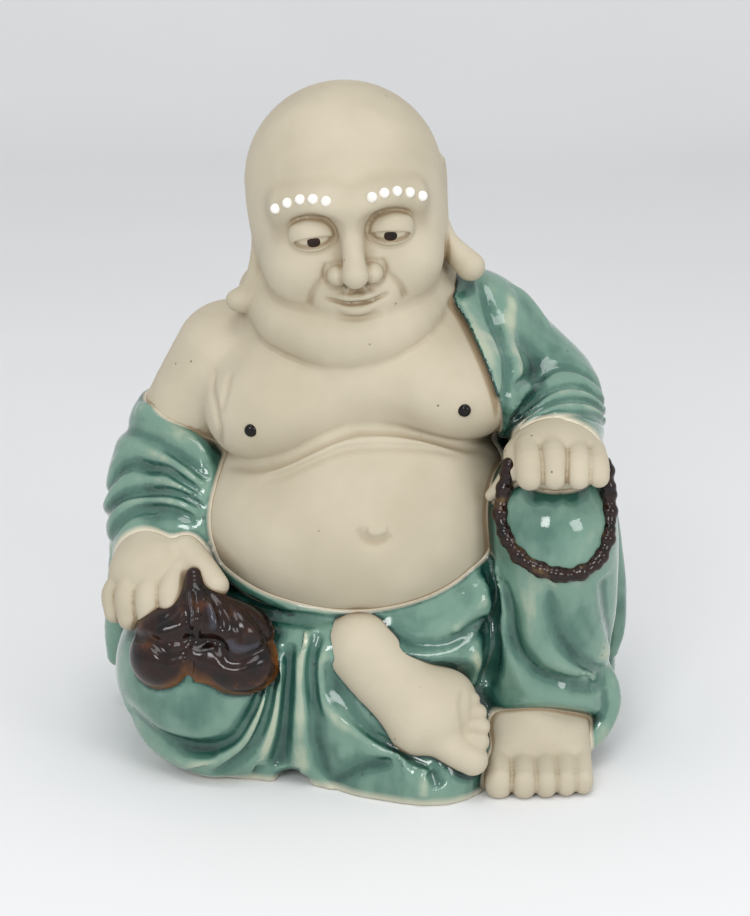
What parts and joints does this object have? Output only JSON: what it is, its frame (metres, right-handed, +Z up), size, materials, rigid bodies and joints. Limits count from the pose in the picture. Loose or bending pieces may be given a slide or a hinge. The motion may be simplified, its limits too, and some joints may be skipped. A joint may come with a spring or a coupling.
{
  "type": "seated budai figure",
  "caption": "Seated budai figure of fired clay: bare head, chest and feet, glazed draped robe, a tied sack under the right hand and a bead string on the raised knee.",
  "frame": {"origin": "on the table at the middle of the figure's foot", "axes": "+Z up through the crown, -Y the way the figure faces, +X to the figure's own left"},
  "size_m": [0.2022, 0.1585, 0.2501],
  "materials": {
    "glazed_clay": "biscuit cream flesh left unglazed, robe under celadon green glaze, sack and beads under brown glaze"
  },
  "bodies": {
    "root": {"budai_figure": "glazed_clay"}
  },
  "joints": []
}
